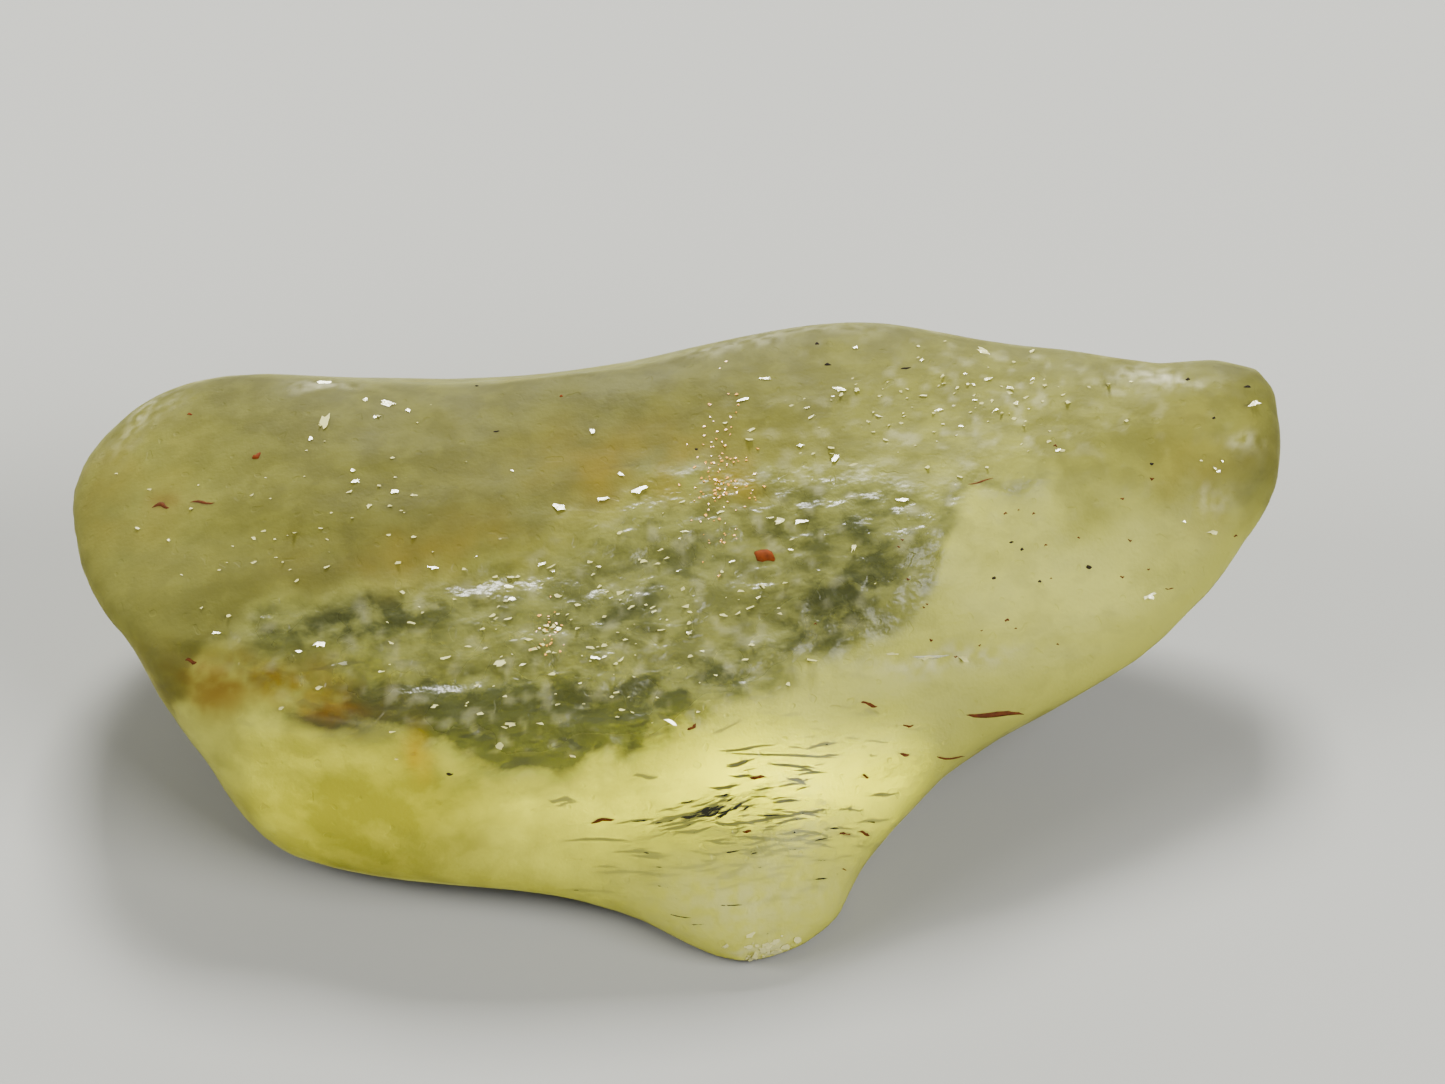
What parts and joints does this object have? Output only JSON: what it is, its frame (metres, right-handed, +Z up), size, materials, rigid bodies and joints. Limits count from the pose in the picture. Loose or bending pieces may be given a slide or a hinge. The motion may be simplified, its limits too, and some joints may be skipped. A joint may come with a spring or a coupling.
{
  "type": "raw desert glass stone",
  "caption": "Loose wind-worn lump of natural silica glass: a low wedge with a blunt end, a raised tapering end, a short prow at the front edge and a flat broken base",
  "frame": {"origin": "on the ground plane, under the middle of the stone's bounding box", "axes": "+X along the stone from the blunt end to the raised tapering end, +Y from the prow's side to the back, +Z up from the flat base"},
  "size_m": [0.0342, 0.0176, 0.0097],
  "materials": {
    "silica_glass": "satin, wind-abraded",
    "iron_stain": "matte",
    "dark_streak": "matte",
    "pale_speck": "gloss, chipped"
  },
  "bodies": {
    "root": {"desert_glass": "silica_glass"}
  },
  "joints": []
}
